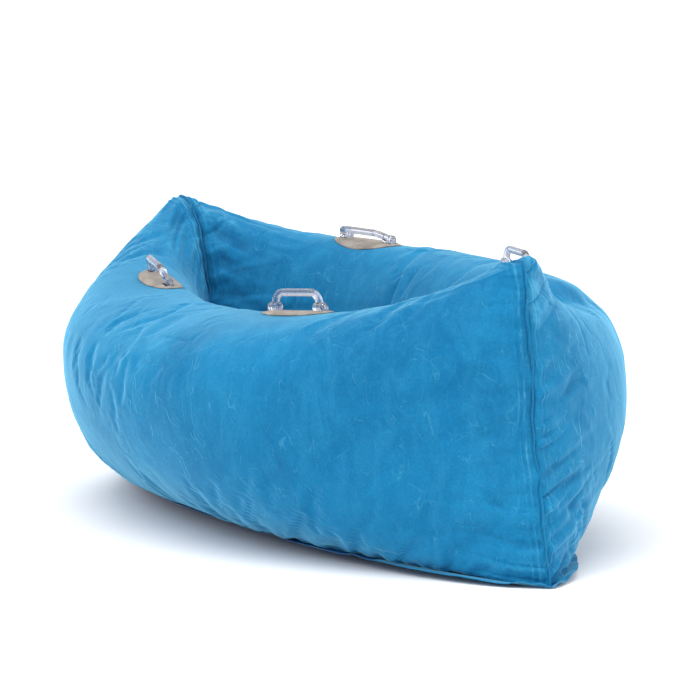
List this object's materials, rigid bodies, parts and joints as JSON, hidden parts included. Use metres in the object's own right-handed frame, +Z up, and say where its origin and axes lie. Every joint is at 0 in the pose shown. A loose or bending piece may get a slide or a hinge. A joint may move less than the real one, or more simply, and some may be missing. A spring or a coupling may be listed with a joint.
{
  "type": "inflatable pod chair",
  "caption": "Boat-shaped inflatable pod chair: two tall air-filled side walls meet at upright end seams round a deep well, with clear folding grips on the rims and a flip-cap air valve.",
  "frame": {"origin": "on the floor, under the middle of the chair (bottom centre of the bounding box)", "axes": "+X towards the bow seam (longest way), +Y towards the port wall, +Z up"},
  "size_m": [1.504, 0.828, 0.4992],
  "materials": {
    "flocked_skin": "short velvety flock on vinyl film, azure blue",
    "base_film": "plain vinyl film, darker blue",
    "web_film": "plain vinyl film",
    "tan_patch": "dull tan vinyl",
    "clear_vinyl": "clear moulded vinyl with a faint lavender tint",
    "flap_rubber": "soft translucent rubber"
  },
  "bodies": {
    "chair": {"port_outer_panel_bow": "flocked_skin", "port_outer_panel_fore": "flocked_skin", "port_outer_panel_mid": "flocked_skin", "port_outer_panel_aft": "flocked_skin", "port_outer_panel_stern": "flocked_skin", "port_well_panel_fore": "flocked_skin", "port_well_panel_mid": "flocked_skin", "port_well_panel_aft": "flocked_skin", "starboard_outer_panel_bow": "flocked_skin", "starboard_outer_panel_fore": "flocked_skin", "starboard_outer_panel_mid": "flocked_skin", "starboard_outer_panel_aft": "flocked_skin", "starboard_outer_panel_stern": "flocked_skin", "starboard_well_panel_fore": "flocked_skin", "starboard_well_panel_mid": "flocked_skin", "starboard_well_panel_aft": "flocked_skin", "well_floor_panel": "flocked_skin", "base_panel": "base_film", "bow_seam_tape": "flocked_skin", "stern_seam_tape": "flocked_skin", "port_upper_web": "web_film", "port_lower_web": "web_film", "starboard_upper_web": "web_film", "starboard_lower_web": "web_film", "port_floor_web": "web_film", "middle_floor_web": "web_film", "starboard_floor_web": "web_film", "port_fore_handle_anchor": "clear_vinyl", "port_fore_handle_patch": "tan_patch", "port_aft_handle_anchor": "clear_vinyl", "port_aft_handle_patch": "tan_patch", "starboard_fore_handle_anchor": "clear_vinyl", "starboard_fore_handle_patch": "tan_patch", "starboard_aft_handle_anchor": "clear_vinyl", "starboard_aft_handle_patch": "tan_patch", "valve_ring": "base_film", "valve_body": "clear_vinyl"},
    "port_fore_grip": {"port_fore_handle_grip": "clear_vinyl"},
    "port_aft_grip": {"port_aft_handle_grip": "clear_vinyl"},
    "starboard_fore_grip": {"starboard_fore_handle_grip": "clear_vinyl"},
    "starboard_aft_grip": {"starboard_aft_handle_grip": "clear_vinyl"},
    "valve_cap": {"valve_cap": "clear_vinyl"},
    "valve_flap": {"valve_flap": "flap_rubber"}
  },
  "joints": [
    {"name": "port_fore_grip_hinge", "type": "hinge", "parent": "chair", "child": "port_fore_grip", "pos_m": [0.26766, 0.20021, 0.44287], "axis": [0.9795, -0.2013, 0.008], "range_deg": [-85, 85]},
    {"name": "port_aft_grip_hinge", "type": "hinge", "parent": "chair", "child": "port_aft_grip", "pos_m": [-0.26766, 0.20021, 0.44287], "axis": [0.9795, 0.2013, -0.008], "range_deg": [-147, 23]},
    {"name": "starboard_fore_grip_hinge", "type": "hinge", "parent": "chair", "child": "starboard_fore_grip", "pos_m": [0.26689, -0.20044, 0.3953], "axis": [0.976, 0.2006, 0.0844], "range_deg": [-85, 85]},
    {"name": "starboard_aft_grip_hinge", "type": "hinge", "parent": "chair", "child": "starboard_aft_grip", "pos_m": [-0.26689, -0.20044, 0.3953], "axis": [0.976, -0.2006, -0.0844], "range_deg": [-110, 60]},
    {"name": "valve_cap_hinge", "type": "hinge", "parent": "chair", "child": "valve_cap", "pos_m": [-0.41668, 0.31835, 0.21575], "axis": [-0.8623, -0.5061, 0.0201], "range_deg": [0, 150]},
    {"name": "valve_flap_hinge", "type": "hinge", "parent": "chair", "child": "valve_flap", "pos_m": [-0.40328, 0.29723, 0.25864], "axis": [-0.8623, -0.5061, 0.0201], "range_deg": [0, 60], "stiffness_Nm_per_rad": 0.004}
  ]
}
